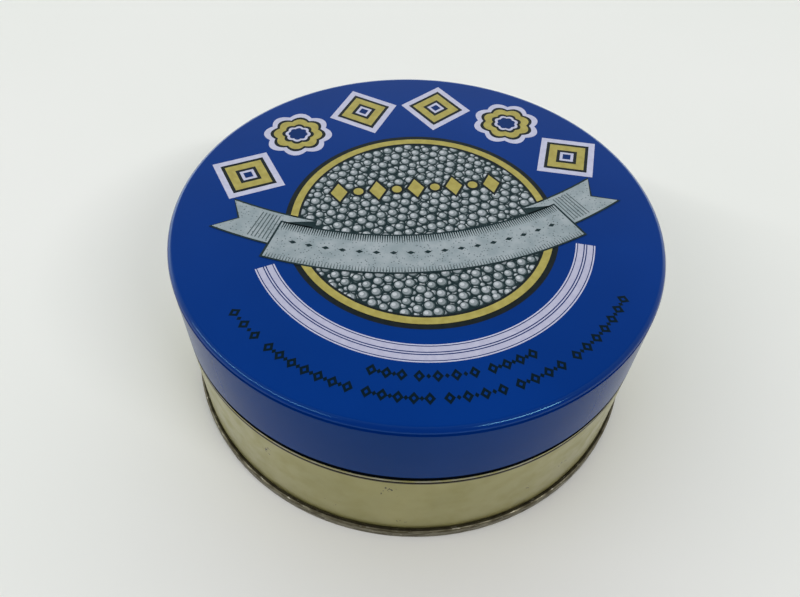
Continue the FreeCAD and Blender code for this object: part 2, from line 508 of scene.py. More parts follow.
def baked(helper: Object, name: str) -> Mesh:
    """Turn a helper object, as it shows, into a plain mesh and drop the object."""
    helper.update_tag()
    bpy.context.view_layer.update()
    depsgraph = bpy.context.evaluated_depsgraph_get()
    mesh = bpy.data.meshes.new_from_object(helper.evaluated_get(depsgraph))
    mesh.name = name
    bpy.data.objects.remove(helper, do_unlink=True)
    return mesh


def slab_mesh(name: str, outlines: Iterable[Sequence[Point]], level: float,
              thickness: float) -> Mesh:
    """A thin closed slab over flat outlines, where an outline inside another is a hole.

    Args:
        name: The mesh's name.
        outlines: Closed outlines in millimetres.
        level: Height of the slab's middle in millimetres.
        thickness: The slab's thickness in millimetres.

    Returns:
        The slab as a closed mesh.
    """
    curve = line_curve(name, outlines, closed=True)
    curve.dimensions = "2D"
    curve.fill_mode = "BOTH"
    curve.extrude = thickness / 2 * MM
    mesh = baked(in_scene(name, curve), name)
    bpy.data.curves.remove(curve)
    shape = bmesh.new()
    shape.from_mesh(mesh)
    bmesh.ops.remove_doubles(shape, verts=shape.verts, dist=JOINED)
    bmesh.ops.recalc_face_normals(shape, faces=shape.faces)
    shape.to_mesh(mesh)
    shape.free()
    mesh.transform(Matrix.Translation((0, 0, level * MM)))
    return mesh


def run_tree(tree: NodeTree, values: dict[str, object], name: str) -> Mesh:
    """Run a Geometry Nodes tree on an empty mesh with the given inputs.

    Args:
        tree: The tree.
        values: Input values by the name of the tree's socket.
        name: The resulting mesh's name.

    Returns:
        The plain mesh that the tree makes.
    """
    helper = in_scene(name, bpy.data.meshes.new(name))
    modifier = helper.modifiers.new("make", "NODES")
    modifier.node_group = tree
    sockets = {item.name: item.identifier for item in tree.interface.items_tree
               if item.in_out == "INPUT"}
    for key, value in values.items():
        modifier[sockets[key]] = value
    return baked(helper, name)


def new_tree(name: str, inputs: dict[str, str]) -> tuple[NodeTree, dict, Node]:
    """Start a Geometry Nodes tree with named inputs.

    Args:
        name: The tree's name.
        inputs: Socket types by the inputs' names.

    Returns:
        The tree, its input sockets by name, and its output node.
    """
    tree = bpy.data.node_groups.new(name, "GeometryNodeTree")
    tree.interface.new_socket("Geometry", in_out="OUTPUT", socket_type="NodeSocketGeometry")
    for label, kind in inputs.items():
        tree.interface.new_socket(label, in_out="INPUT", socket_type=f"NodeSocket{kind}")
    given = tree.nodes.new("NodeGroupInput")
    output = tree.nodes.new("NodeGroupOutput")
    return tree, {label: given.outputs[label] for label in inputs}, output


def end_tree(tree: NodeTree, points: NodeSocket, shape: NodeSocket,
             spread: dict[str, NodeSocket], material: NodeSocket, output: Node) -> None:
    """End a Geometry Nodes tree: copies of a shape on points, made real and inked.

    Args:
        tree: The tree.
        points: Where the copies go.
        shape: The shape that is copied.
        spread: How each copy is turned or sized.
        material: The copies' material.
        output: The tree's output node.
    """
    copies = add_node(tree, "GeometryNodeInstanceOnPoints",
                      {"Points": points, "Instance": shape, **spread})
    real = add_node(tree, "GeometryNodeRealizeInstances", {"Geometry": copies.outputs[0]})
    inked = add_node(tree, "GeometryNodeSetMaterial",
                     {"Geometry": real.outputs[0], "Material": material})
    tree.links.new(inked.outputs[0], output.inputs["Geometry"])


# The three pressed pieces


@dataclass
class Lid:
    """The pressed lid, over the can: flat panel, rounded shoulder, deep skirt and rolled edge."""

    shoulder: float = 1.5
    sheet: float = 0.3
    edge_round: float = 0.5
    edge_width: float = 0.8
    edge_height: float = 2.8
    # Height of the near-black band along the rolled edge: dirt, and painted shade of the gap under
    # the lid.
    dirt_and_shade_height: float = 1.75
    drawn_height: float = 0.4
    print_depth: float = 0.16
    knock_depth: float = 0.07
    knock_fade: float = 4.0
    radius: float = field(init=False)
    foot: float = field(init=False)
    top: float = field(init=False)

    def __post_init__(self) -> None:
        """Take the lid's place from the frame, and sink its panel by the print's thickness."""
        low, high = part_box("lid")
        self.radius = high.x / MM
        self.foot = low.z / MM
        self.top = high.z / MM - self.print_depth

    def section(self) -> list[Point]:
        """The lid's half-section, from the middle of its panel outwards and back inside."""
        bend = self.radius - self.shoulder
        under = self.top - self.sheet
        rounded = self.radius - self.edge_round
        return [
            (0.0, self.top), (bend * 0.5, self.top), (bend - 0.15, self.top),
            *arc((bend, self.top - self.shoulder), self.shoulder, 90, 0, 14),
            (self.radius, self.top - self.shoulder - self.drawn_height),
            (self.radius, self.foot + self.dirt_and_shade_height),
            (self.radius, self.foot + self.edge_round + 0.2),
            *arc((rounded, self.foot + self.edge_round), self.edge_round, 0, -90, 7),
            (self.radius - self.edge_width, self.foot),
            (self.radius - self.edge_width, self.foot + self.edge_height),
            (self.radius - self.sheet, self.foot + self.edge_height),
            *arc((bend, self.top - self.shoulder), self.shoulder - self.sheet, 0, 90, 6),
            (0.0, under),
        ]

    def out_of_true(self, place: Vector) -> float:
        """How far the skirt is pushed out of round by handling, in millimetres."""
        share = min(1.0, max(0.0, (self.top - self.shoulder - place.z) / self.knock_fade))
        pushed = Vector((place.x, place.y, place.z * 0.4)) * 0.045
        return self.knock_depth * share * noise.noise(pushed)

    def finishes(self) -> list[tuple[PrintInk, float]]:
        """The lacquer's finish in bands, each with the level that it starts below."""
        panel = PrintInk("blue_litho_lacquer", "012A79", "022E80", 30.0, 0.14, 0.15)
        rim = PrintInk("rubbed_blue_lacquer", "012A79", "022E80", 30.0, 0.14, 0.4, "95E7FF")
        # Darker blue band low on the shoulder, with no gloss: painted shade.
        shaded_drawn = PrintInk("shaded_drawn_blue_lacquer", "01256B", "01286F", 30.0, 0.5, 0.0)
        skirt = PrintInk("handled_blue_lacquer", "01306F", "023376", 30.0, 0.2, 0.05)
        # Near-black rolled edge with no gloss: dirt, and painted shade of the gap over the can's
        # bead.
        edge = PrintInk("grimy_shaded_blue_lacquer", "04080F", "060B14", 3.0, 0.8, 0.0)
        return [(panel, self.top + 1), (rim, self.top - 0.04 * self.shoulder),
                (shaded_drawn, self.top - 0.72 * self.shoulder),
                (skirt, self.top - self.shoulder - self.drawn_height),
                (edge, self.foot + self.dirt_and_shade_height)]

    def make(self) -> Object:
        """Turn the lid and lay each finish on its band of faces."""
        mesh = turned_mesh("lid_shell", self.section(), self.out_of_true)
        finishes = self.finishes()
        piece = link_mesh("lid_shell", mesh, finishes[0][0].make())
        for finish, _ in finishes[1:]:
            mesh.materials.append(finish.make())
        for face in mesh.polygons:
            face.material_index = sum(face.center.z < level * MM for _, level in finishes) - 1
        return stand_for(piece, "lid")


@dataclass
class Can:
    """The can body: wall, bead under the lid's edge, and the neck inside the lid."""

    lid_gap: float = 0.15
    bead_radius: float = 0.4
    wall_inset: float = 0.1
    neck_inset: float = 0.9
    seam_tuck: float = 0.2
    seam_height: float = 2.9
    floor_rise: float = 3.5
    floor_inset: float = 3.0
    hem: float = 2.0
    swage: float = 0.3
    neck_slope: float = 1.8
    knock_depth: float = 0.06
    knock_fade: float = 6.0
    lid: Lid = field(default_factory=Lid)
    foot: float = field(init=False)
    top: float = field(init=False)

    def __post_init__(self) -> None:
        """Take the can's levels from the frame."""
        low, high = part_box("can")
        self.foot = low.z / MM
        self.top = self.lid.top - self.lid.sheet - 0.02

    @property
    def wall(self) -> float:
        """Radius of the can's wall."""
        return self.lid.radius - self.wall_inset

    @property
    def bead_level(self) -> float:
        """Height of the bead's middle."""
        return self.lid.foot - self.lid_gap - self.bead_radius

    def section(self) -> list[Point]:
        """The can's half-section, from the middle of its floor outwards and up."""
        wall, bead = self.wall, self.bead_radius
        neck = self.lid.radius - self.neck_inset
        shelf = self.bead_level - bead
        floor = self.foot + self.floor_rise
        return [
            (0.0, floor), (wall - self.floor_inset, floor), (wall - self.floor_inset, self.hem),
            (wall - self.seam_tuck, self.hem), (wall - self.seam_tuck, self.seam_height),
            *arc((wall - self.seam_tuck, self.seam_height + 0.55), self.seam_tuck, -70, 0, 5),
            (wall, self.seam_height + 1.2),
            (wall, shelf - 3 * self.swage),
            *arc((wall - self.swage, shelf - self.swage), self.swage, 0, 75, 5),
            *arc((wall - bead, self.bead_level), bead, -75, 90, 11),
            (neck, self.bead_level + bead),
            (neck, self.top - self.neck_slope),
            (neck - self.neck_slope, self.top),
            (0.0, self.top),
        ]

    def out_of_true(self, place: Vector) -> float:
        """How far the wall is pushed out of round by handling, in millimetres."""
        share = min(1.0, max(0.0, (self.bead_level - 2 - place.z) / self.knock_fade))
        pushed = Vector((place.x, place.y, place.z * 0.5)) * 0.05 + Vector((9, 4, 2))
        return self.knock_depth * share * noise.noise(pushed)

    def make(self) -> Object:
        """Turn the can and coat it in gold lacquer."""
        finish = GoldLacquer("gold_lacquered_tinplate", self.bead_level, self.bead_radius,
                             self.seam_height)
        mesh = turned_mesh("can_wall", self.section(), self.out_of_true)
        piece = link_mesh("can_wall", mesh, finish.make())
        return stand_for(piece, "can")


@dataclass
class BottomEnd:
    """The can's end: the double seam along the floor and the sunk panel with its stamped ring."""

    wall: float = 59.9
    seam_height: float = 2.9
    sheet: float = 0.3
    bend: float = 0.5
    panel_bend: float = 1.0
    seam_gap: float = 0.06
    hook: float = 0.6
    inner_bend: float = 0.3
    ring_inset: float = 9.0
    ring_width: float = 4.0
    ring_slope: float = 0.8
    ring_depth: float = 0.6
    radius: float = field(init=False)
    panel: float = field(init=False)

    def __post_init__(self) -> None:
        """Take the seam's reach and the panel's level from the frame."""
        low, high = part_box("bottom_end")
        self.radius = high.x / MM
        self.panel = high.z / MM

    def section(self) -> list[Point]:
        """The end's half-section, from the panel's top face down round the seam."""
        inside = self.wall - 2 * self.sheet - self.seam_gap
        under = self.panel - self.sheet
        foot = self.wall - self.ring_inset
        sunk = under - self.ring_depth
        crest = (self.radius - self.wall + 0.1) / 2
        hook = self.seam_height - self.hook
        return [
            (0.0, self.panel),
            (foot - self.ring_width, self.panel), (foot, self.panel),
            (inside + self.sheet, self.panel), (inside + self.sheet, hook),
            (self.wall - 0.1, hook),
            *arc((self.radius - crest, self.seam_height - crest), crest, 180, 0, 12),
            (self.radius, self.bend + 0.3),
            *arc((self.radius - self.bend, self.bend), self.bend, 0, -90, 6),
            *arc((inside + self.inner_bend, self.inner_bend), self.inner_bend, -90, -180, 5),
            (inside, under - self.panel_bend),
            *arc((inside - self.panel_bend, under - self.panel_bend), self.panel_bend, 0, 90, 6),
            (foot, under), (foot - self.ring_slope, sunk),
            (foot - self.ring_width + self.ring_slope, sunk), (foot - self.ring_width, under),
            (0.0, under),
        ]

    def rolled(self, place: Vector) -> float:
        """How far the seam is pushed in by the seaming rolls and by knocks, in millimetres."""
        fine = noise.noise(place * 0.9 + Vector((3, 8, 1)))
        broad = noise.noise(place * 0.12)
        return -0.05 + 0.04 * fine + 0.03 * broad if place.to_2d().length > self.wall else 0.0

    def make(self) -> Object:
        """Turn the end and leave it in worn tinplate."""
        mesh = turned_mesh("seamed_end", self.section(), self.rolled)
        metal = WornTinplate("worn_tinplate", self.seam_height).make()
        piece = link_mesh("seamed_end", mesh, metal)
        return stand_for(piece, "bottom_end")


# The lid's print


@dataclass
class PrintPlane:
    """Where the print lies: its middle on the lid, and how the inks are laid over one another."""

    lid_top: float
    middle: Point = (0.75, -2.2)
    ink: float = 0.006
    step: float = 0.009

    def level(self, layer: float) -> float:
        """Height of the middle of one layer of ink, counted up from the lacquer."""
        return self.lid_top + self.step * layer

    def lay(self, name: str, outlines: Iterable[Sequence[Point]], layer: int,
            ink: Ink) -> Object:
        """Print flat outlines as one piece.

        Args:
            name: The piece's name.
            outlines: Closed outlines in millimetres on the lid.
            layer: Which layer of ink they are.
            ink: Their ink.

        Returns:
            The printed piece, riding with the tin.
        """
        mesh = slab_mesh(name, outlines, self.level(layer), self.ink)
        return self.keep(name, mesh, ink)

    def keep(self, name: str, mesh: Mesh, ink: Ink) -> Object:
        """Put a printed mesh on the tin."""
        piece = link_mesh(name, mesh, ink.material())
        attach(piece, BODY)
        return piece


@dataclass
class GrainPrinter:
    """Prints discs in loosely kept, staggered rows over a round field of the lid."""

    plane: PrintPlane
    row_share: float = 0.9
    turn: float = math.radians(14)
    looseness: float = 0.12
    film: float = 0.002
    sides: int = 14
    tree: NodeTree = field(init=False)

    def __post_init__(self) -> None:
        """Build the tree once for every field of discs."""
        self.tree = self.grain_tree()

    def grain_tree(self) -> NodeTree:
        """Build the tree that prints the discs, each a little off its place and at its own height.

        Returns:
            The tree.
        """
        tree, given, output = new_tree("loose_grains", {
            "Middle": "Vector", "Field Radius": "Float", "Pitch": "Float", "Count": "Int",
            "Row Share": "Float", "Turn": "Rotation", "Looseness": "Vector", "Seed": "Int",
            "Smallest": "Float", "Largest": "Float", "Disc Radius": "Float",
            "Disc Place": "Vector", "Sides": "Int", "Ink": "Float", "Lift": "Float",
            "Material": "Material"})
        place = add_node(tree, "GeometryNodeInputPosition").outputs[0]
        up = add_node(tree, "ShaderNodeSeparateXYZ", {0: place}).outputs["Y"]
        reach = add_node(tree, "ShaderNodeVectorMath", {0: place}, operation="LENGTH")
        made = {**given, "up": up, "reach": reach.outputs["Value"]}
        for name, operation, first, second in (
                ("row pitch", "MULTIPLY", "Pitch", "Row Share"),
                ("steps", "SUBTRACT", "Count", 1.0),
                ("length", "MULTIPLY", "Pitch", "steps"),
                ("depth", "MULTIPLY", "row pitch", "steps"),
                ("share", "DIVIDE", "up", "row pitch"),
                ("row", "ROUND", "share", 0.0),
                ("odd", "FLOORED_MODULO", "row", 2.0),
                ("half pitch", "MULTIPLY", "Pitch", 0.5),
                ("stagger", "MULTIPLY", "odd", "half pitch"),
                ("beyond", "GREATER_THAN", "reach", "Field Radius")):
            made[name] = add_node(tree, "ShaderNodeMath",
                                  {0: made[first], 1: made.get(second, second)},
                                  operation=operation).outputs[0]
        grid = add_node(tree, "GeometryNodeMeshGrid",
                        {"Size X": made["length"], "Size Y": made["depth"],
                         "Vertices X": given["Count"], "Vertices Y": given["Count"]})
        back = add_node(tree, "ShaderNodeVectorMath", {0: given["Looseness"], "Scale": -1.0},
                        operation="SCALE")
        stray = add_node(tree, "FunctionNodeRandomValue",
                         {0: back.outputs[0], 1: given["Looseness"], "Seed": given["Seed"]},
                         data_type="FLOAT_VECTOR")
        strayed = add_node(tree, "ShaderNodeVectorMath", {0: place, 1: stray.outputs[0]})
        shifted = add_node(tree, "ShaderNodeCombineXYZ", {"X": made["stagger"]})
        staggered = add_node(tree, "GeometryNodeSetPosition",
                             {"Geometry": grid.outputs["Mesh"], "Position": strayed.outputs[0],
                              "Offset": shifted.outputs[0]})
        turned = add_node(tree, "GeometryNodeTransform",
                          {"Geometry": staggered.outputs[0], "Rotation": given["Turn"]})
        kept = add_node(tree, "GeometryNodeDeleteGeometry",
                        {"Geometry": turned.outputs[0], "Selection": made["beyond"]},
                        domain="POINT")
        height = add_node(tree, "FunctionNodeRandomValue",
                          {2: 0.0, 3: given["Lift"], "Seed": 2}, data_type="FLOAT")
        raised = add_node(tree, "ShaderNodeCombineXYZ", {"Z": height.outputs[1]})
        moved = add_node(tree, "ShaderNodeVectorMath", {0: given["Middle"], 1: raised.outputs[0]})
        placed = add_node(tree, "GeometryNodeSetPosition",
                          {"Geometry": kept.outputs[0], "Offset": moved.outputs[0]})
        disc = add_node(tree, "GeometryNodeMeshCylinder",
                        {"Vertices": given["Sides"], "Radius": given["Disc Radius"],
                         "Depth": given["Ink"]})
        set_off = add_node(tree, "GeometryNodeTransform",
                           {"Geometry": disc.outputs["Mesh"], "Translation": given["Disc Place"]})
        size = add_node(tree, "FunctionNodeRandomValue",
                        {2: given["Smallest"], 3: given["Largest"], "Seed": 1},
                        data_type="FLOAT").outputs[1]
        flat = add_node(tree, "ShaderNodeCombineXYZ", {"X": size, "Y": size, "Z": 1.0})
        end_tree(tree, placed.outputs[0], set_off.outputs["Geometry"],
                 {"Scale": flat.outputs[0]}, given["Material"], output)
        return tree

    def scatter(self, name: str, reach: float, layer: float, lift: float, pitch: float,
                sizes: Point, seed: int, radius: float, shift: float, ink: Ink) -> Object:
        """Print a round field of discs about the print's middle.

        Args:
            name: The piece's name.
            reach: Radius of the field that the discs' middles stay in.
            layer: Layer of ink of the lowest disc.
            lift: How many layers higher the highest disc lies.
            pitch: Distance between two discs of a row.
            sizes: Least and greatest size of a disc, as shares of its radius.
            seed: Which of the possible scatters to print.
            radius: A disc's radius.
            shift: How far a disc is set towards the upper left.
            ink: Its ink.

        Returns:
            The printed discs, riding with the tin.
        """
        loose = self.looseness * pitch * MM
        count = int(2.5 * reach / (pitch * self.row_share))
        values = {"Middle": (self.plane.middle[0] * MM, self.plane.middle[1] * MM,
                             self.plane.level(layer) * MM),
                  "Field Radius": reach * MM, "Pitch": pitch * MM, "Count": count,
                  "Row Share": self.row_share, "Turn": (0.0, 0.0, self.turn),
                  "Looseness": (loose, loose, 0.0), "Seed": seed, "Smallest": sizes[0],
                  "Largest": sizes[1], "Disc Radius": radius * MM,
                  "Disc Place": (-shift * MM, shift * MM, 0.0), "Sides": self.sides,
                  "Ink": self.film * MM, "Lift": lift * self.plane.step * MM,
                  "Material": ink.material()}
        return self.plane.keep(name, run_tree(self.tree, values, name), ink)


@dataclass
class PearlMedallion:
    """The round picture of loose grains, inside a gold ring and a black one."""

    plane: PrintPlane
    grains: GrainPrinter
    field_radius: float = 29.5
    ring_inside: float = 30.1
    ring_outside: float = 31.9
    border: float = 33.25
    keyline_overlap: float = 0.05
    circle_step: int = 2

    def make(self) -> None:
        """Print the ground, the grains and the rings."""
        lay, circle = self.plane.lay, self.circle
        lay("medallion_border", [circle(self.border)], 1, Ink.BLACK)
        lay("medallion_ground", [circle(self.ring_inside)], 2, Ink.GROUND)
        self.population("small_grains", layer=3, lift=2.6, pitch=1.7, radius=0.9,
                        sizes=(0.75, 1.05), seed=5)
        self.population("large_grains", layer=6, lift=3.6, pitch=2.8, radius=1.46,
                        sizes=(0.84, 1.04), seed=11)
        keyline = [circle(self.ring_inside + self.keyline_overlap), circle(self.field_radius)]
        lay("medallion_keyline", keyline, 11, Ink.BLACK)
        lay("gold_ring", [circle(self.ring_outside), circle(self.ring_inside)], 12, Ink.GOLD)

    def circle(self, radius: float) -> list[Point]:
        """Outline of a circle about the print's middle."""
        last = 360 - self.circle_step
        return arc(self.plane.middle, radius, 0, last, last // self.circle_step)

    def population(self, name: str, layer: float, lift: float, pitch: float, radius: float,
                   sizes: Point, seed: int) -> None:
        """Print grains of about one size: a dark outline, a shaded disc, a face and a glint.

        Args:
            name: Start of the pieces' names.
            layer: Layer of the lowest grain.
            lift: How many layers higher the highest grain lies.
            pitch: Distance between two grains of a row.
            radius: Radius of a grain with its outline.
            sizes: Least and greatest size of a grain.
            seed: Which of the possible scatters to print.
        """
        parts = (("outlines", radius, 0.0, Ink.GROUND), ("shades", radius * 0.8, 0.0, Ink.SHADE),
                 ("faces", radius * 0.68, radius * 0.08, Ink.GRAIN),
                 ("glints", radius * 0.34, radius * 0.24, Ink.GLINT))
        for number, (part, reach, shift, ink) in enumerate(parts):
            self.grains.scatter(f"{name}_{part}", self.field_radius, layer + 0.3 * number, lift,
                                pitch, sizes, seed, reach, shift, ink)


class Motif(Enum):
    """The shapes of the large ornaments over the medallion."""

    LOZENGE = "lozenge"
    ROSETTE = "rosette"


@dataclass
class RowPrinter:
    """Prints a row of equal shapes along a line on the lid."""

    plane: PrintPlane
    tree: NodeTree = field(init=False)

    def __post_init__(self) -> None:
        """Build the tree once for every row."""
        self.tree = self.row_tree()

    def row_tree(self) -> NodeTree:
        """Build the tree that sets copies of a shape along a path.

        Returns:
            The tree.
        """
        tree, given, output = new_tree("row_along_path", {
            "Path": "Object", "Shape": "Object", "Count": "Int", "Material": "Material"})
        path = add_node(tree, "GeometryNodeObjectInfo", {"Object": given["Path"]})
        shape = add_node(tree, "GeometryNodeObjectInfo", {"Object": given["Shape"]})
        points = add_node(tree, "GeometryNodeCurveToPoints",
                          {"Curve": path.outputs["Geometry"], "Count": given["Count"]},
                          mode="COUNT")
        turned = add_node(tree, "FunctionNodeAlignRotationToVector",
                          {"Vector": points.outputs["Tangent"]}, axis="X", pivot_axis="Z")
        end_tree(tree, points.outputs["Points"], shape.outputs["Geometry"],
                 {"Rotation": turned.outputs["Rotation"]}, given["Material"], output)
        return tree

    def lay(self, name: str, path: Sequence[Point], outlines: Iterable[Sequence[Point]],
            layer: int, ink: Ink, count: int) -> Object:
        """Print a row of shapes, each with its up side to the left of the path's run.

        Args:
            name: The piece's name.
            path: Points of the line that the shapes stand on, in millimetres on the lid.
            outlines: One shape's outlines about its own middle, in millimetres.
            layer: Which layer of ink they are.
            ink: Their ink.
            count: How many shapes the row has.

        Returns:
            The printed row, riding with the tin.
        """
        line = line_curve(name, [path], closed=False)
        line.dimensions = "3D"
        shape = slab_mesh(f"{name}_shape", outlines, self.plane.level(layer), self.plane.ink)
        helpers = in_scene(f"{name}_path", line), in_scene(f"{name}_shape", shape)
        values = {"Path": helpers[0], "Shape": helpers[1], "Count": count,
                  "Material": ink.material()}
        mesh = run_tree(self.tree, values, name)
        for helper in helpers:
            bpy.data.objects.remove(helper, do_unlink=True)
        return self.plane.keep(name, mesh, ink)


@dataclass
class OrnamentArch:
    """Six large ornaments on an arc over the medallion, gold with a dark and a white edge."""

    rows: RowPrinter
    radius: float = 47.0
    spread: float = 63.5
    half_height: float = 6.9
    half_width: float = 6.5
    rosette_radius: float = 6.1
    petals: int = 8
    petal_depth: float = 0.16
    edge: float = 2.45
    keyline: float = 0.85
    stroke: float = 2.1
    inner_edge: float = 0.75

    def make(self) -> None:
        """Print four lozenges with a rosette in each half of the arc."""
        pitch = 2 * self.spread / 5
        for motif, away in ((Motif.LOZENGE, 2.5 * pitch), (Motif.ROSETTE, 1.5 * pitch),
                            (Motif.LOZENGE, 0.5 * pitch)):
            self.print_pair(motif, away)

    def print_pair(self, motif: Motif, away: float) -> None:
        """Print one ornament on each side, from the white edge up to the blue middle.

        Args:
            motif: The ornament's shape.
            away: How many degrees each stands from the top of the arc.
        """
        path = arc(self.rows.plane.middle, self.radius, 90 + away, 90 - away, 96)
        inner = -self.stroke - self.keyline
        layers = ((self.edge, Ink.WHITE), (self.keyline, Ink.BLACK), (0.0, Ink.GOLD),
                  (-self.stroke, Ink.BLACK), (inner, Ink.WHITE),
                  (inner - self.inner_edge, Ink.BLUE))
        for layer, (margin, ink) in enumerate(layers, start=1):
            name = f"{motif.value}_{round(away)}_layer_{layer}"
            self.rows.lay(name, path, [self.outline(motif, margin)], layer, ink, 2)

    def outline(self, motif: Motif, margin: float) -> list[Point]:
        """One ornament's outline, grown by a margin all round."""
        if motif is Motif.LOZENGE:
            tall, wide = self.half_height, self.half_width
            grown = 1 + margin / (tall * wide / math.hypot(tall, wide))
            return lozenge(wide * grown, tall * grown)
        angles = [2 * math.pi * step / 128 for step in range(128)]
        reach = [(self.rosette_radius + margin) * (1 + self.petal_depth
                 * (abs(math.cos(self.petals / 2 * angle)) - 0.5)) for angle in angles]
        return [(r * math.cos(a), r * math.sin(a)) for r, a in zip(reach, angles)]


@dataclass
class GoldRow:
    """The small gold row across the grains: upright lozenges with dots between them."""

    rows: RowPrinter
    left: float = -18.6
    right: float = 20.4
    height: float = 9.8
    lozenges: int = 5
    half_height: float = 3.4
    half_width: float = 2.1
    dot: float = 1.25
    keyline: float = 0.65
    tall_mitre: float = 1.6
    wide_mitre: float = 1.2

    def make(self) -> None:
        """Print the row, its dark edge first."""
        pitch = (self.right - self.left) / (self.lozenges - 1)
        line = [(self.left, self.height), (self.right, self.height)]
        inner = [(self.left + pitch / 2, self.height), (self.right - pitch / 2, self.height)]
        for layer, margin, ink in ((11, self.keyline, Ink.BLACK), (12, 0.0, Ink.GOLD)):
            tall = self.half_height + self.tall_mitre * margin
            wide = self.half_width + self.wide_mitre * margin
            self.rows.lay(f"gold_row_lozenges_{layer}", line, [lozenge(wide, tall)], layer, ink,
                          self.lozenges)
            dot = arc((0, 0), self.dot + margin, 0, 345, 23)
            self.rows.lay(f"gold_row_dots_{layer}", inner, [dot], layer, ink, self.lozenges - 1)


@dataclass
class StripeArcs:
    """Two white stripes curved under the medallion, each edged by a hairline."""

    plane: PrintPlane
    inside: float = 37.2
    outside: float = 41.8
    gap: float = 0.85
    rim: float = 0.32
    hairline: float = 0.22
    start: float = 197.0
    end: float = 343.0

    def make(self) -> None:
        """Print the stripes, their fine rims and the line between them."""
        middle = (self.inside + self.outside) / 2
        edge, gap, rim = self.rim + self.hairline, self.gap / 2, self.rim / 2
        inner, outer = self.inside + self.rim, self.outside - self.rim
        for name, layer, ink, radii in (
                ("screened_stripes", 1, Ink.STRIPE, ((self.inside + edge, middle - gap),
                                                     (middle + gap, self.outside - edge))),
                ("stripe_rims", 1, Ink.WHITE, ((self.inside, inner), (outer, self.outside),
                                               (middle - rim, middle + rim))),
                ("stripe_hairlines", 2, Ink.BLUE, (
                    (inner, self.inside + edge), (self.outside - edge, outer),
                    (middle - gap, middle - rim), (middle + rim, middle + gap)))):
            self.plane.lay(name, [self.ring(*pair) for pair in radii], layer, ink)

    def ring(self, inside: float, outside: float) -> list[Point]:
        """Outline of one curved stripe between two radii."""
        middle = self.plane.middle
        return [*arc(middle, outside, self.start, self.end, 90),
                *arc(middle, inside, self.end, self.start, 90)]


@dataclass
class SmallPrint:
    """Two curved lines of open and small solid lozenges, in groups, where small print stands."""

    rows: RowPrinter
    lines: tuple[tuple[float, tuple[tuple[float, float], ...]], ...] = (
        (45.1, ((249.0, 257.0), (261.5, 276.0), (281.0, 293.0))),
        (50.4, ((209.0, 218.0), (223.0, 245.0), (249.5, 264.0), (268.5, 281.0),
                (285.5, 297.0), (302.0, 325.0))),
    )
    pitch: float = 3.5
    height: float = 3.0
    width: float = 2.4
    stroke: float = 0.6
    small: float = 0.42

    def make(self) -> None:
        """Print each group as open lozenges with a small solid one between every two."""
        tall, wide = self.height / 2, self.width / 2
        thin = 1 - self.stroke / (tall * wide / math.hypot(tall, wide))
        large = [lozenge(wide, tall), lozenge(wide * thin, tall * thin)]
        small = [lozenge(wide * self.small, tall * self.small)]
        for line, (radius, groups) in enumerate(self.lines, start=1):
            for number, (start, end) in enumerate(groups, start=1):
                length = math.radians(end - start) * radius
                count = max(2, round(length / self.pitch) + 1)
                half = (end - start) / (count - 1) / 2
                name = f"small_print_{line}_{number}"
                self.print_row(f"{name}_lozenges", radius, start, end, large, count)
                self.print_row(f"{name}_points", radius, start + half, end - half, small,
                               count - 1)

    def print_row(self, name: str, radius: float, start: float, end: float,
                  outlines: list[list[Point]], count: int) -> None:
        """Print one shape a number of times along an arc about the print's middle."""
        path = arc(self.rows.plane.middle, radius, start, end + 1e-3, 32)
        self.rows.lay(name, path, outlines, 1, Ink.SMALL_TYPE, count)


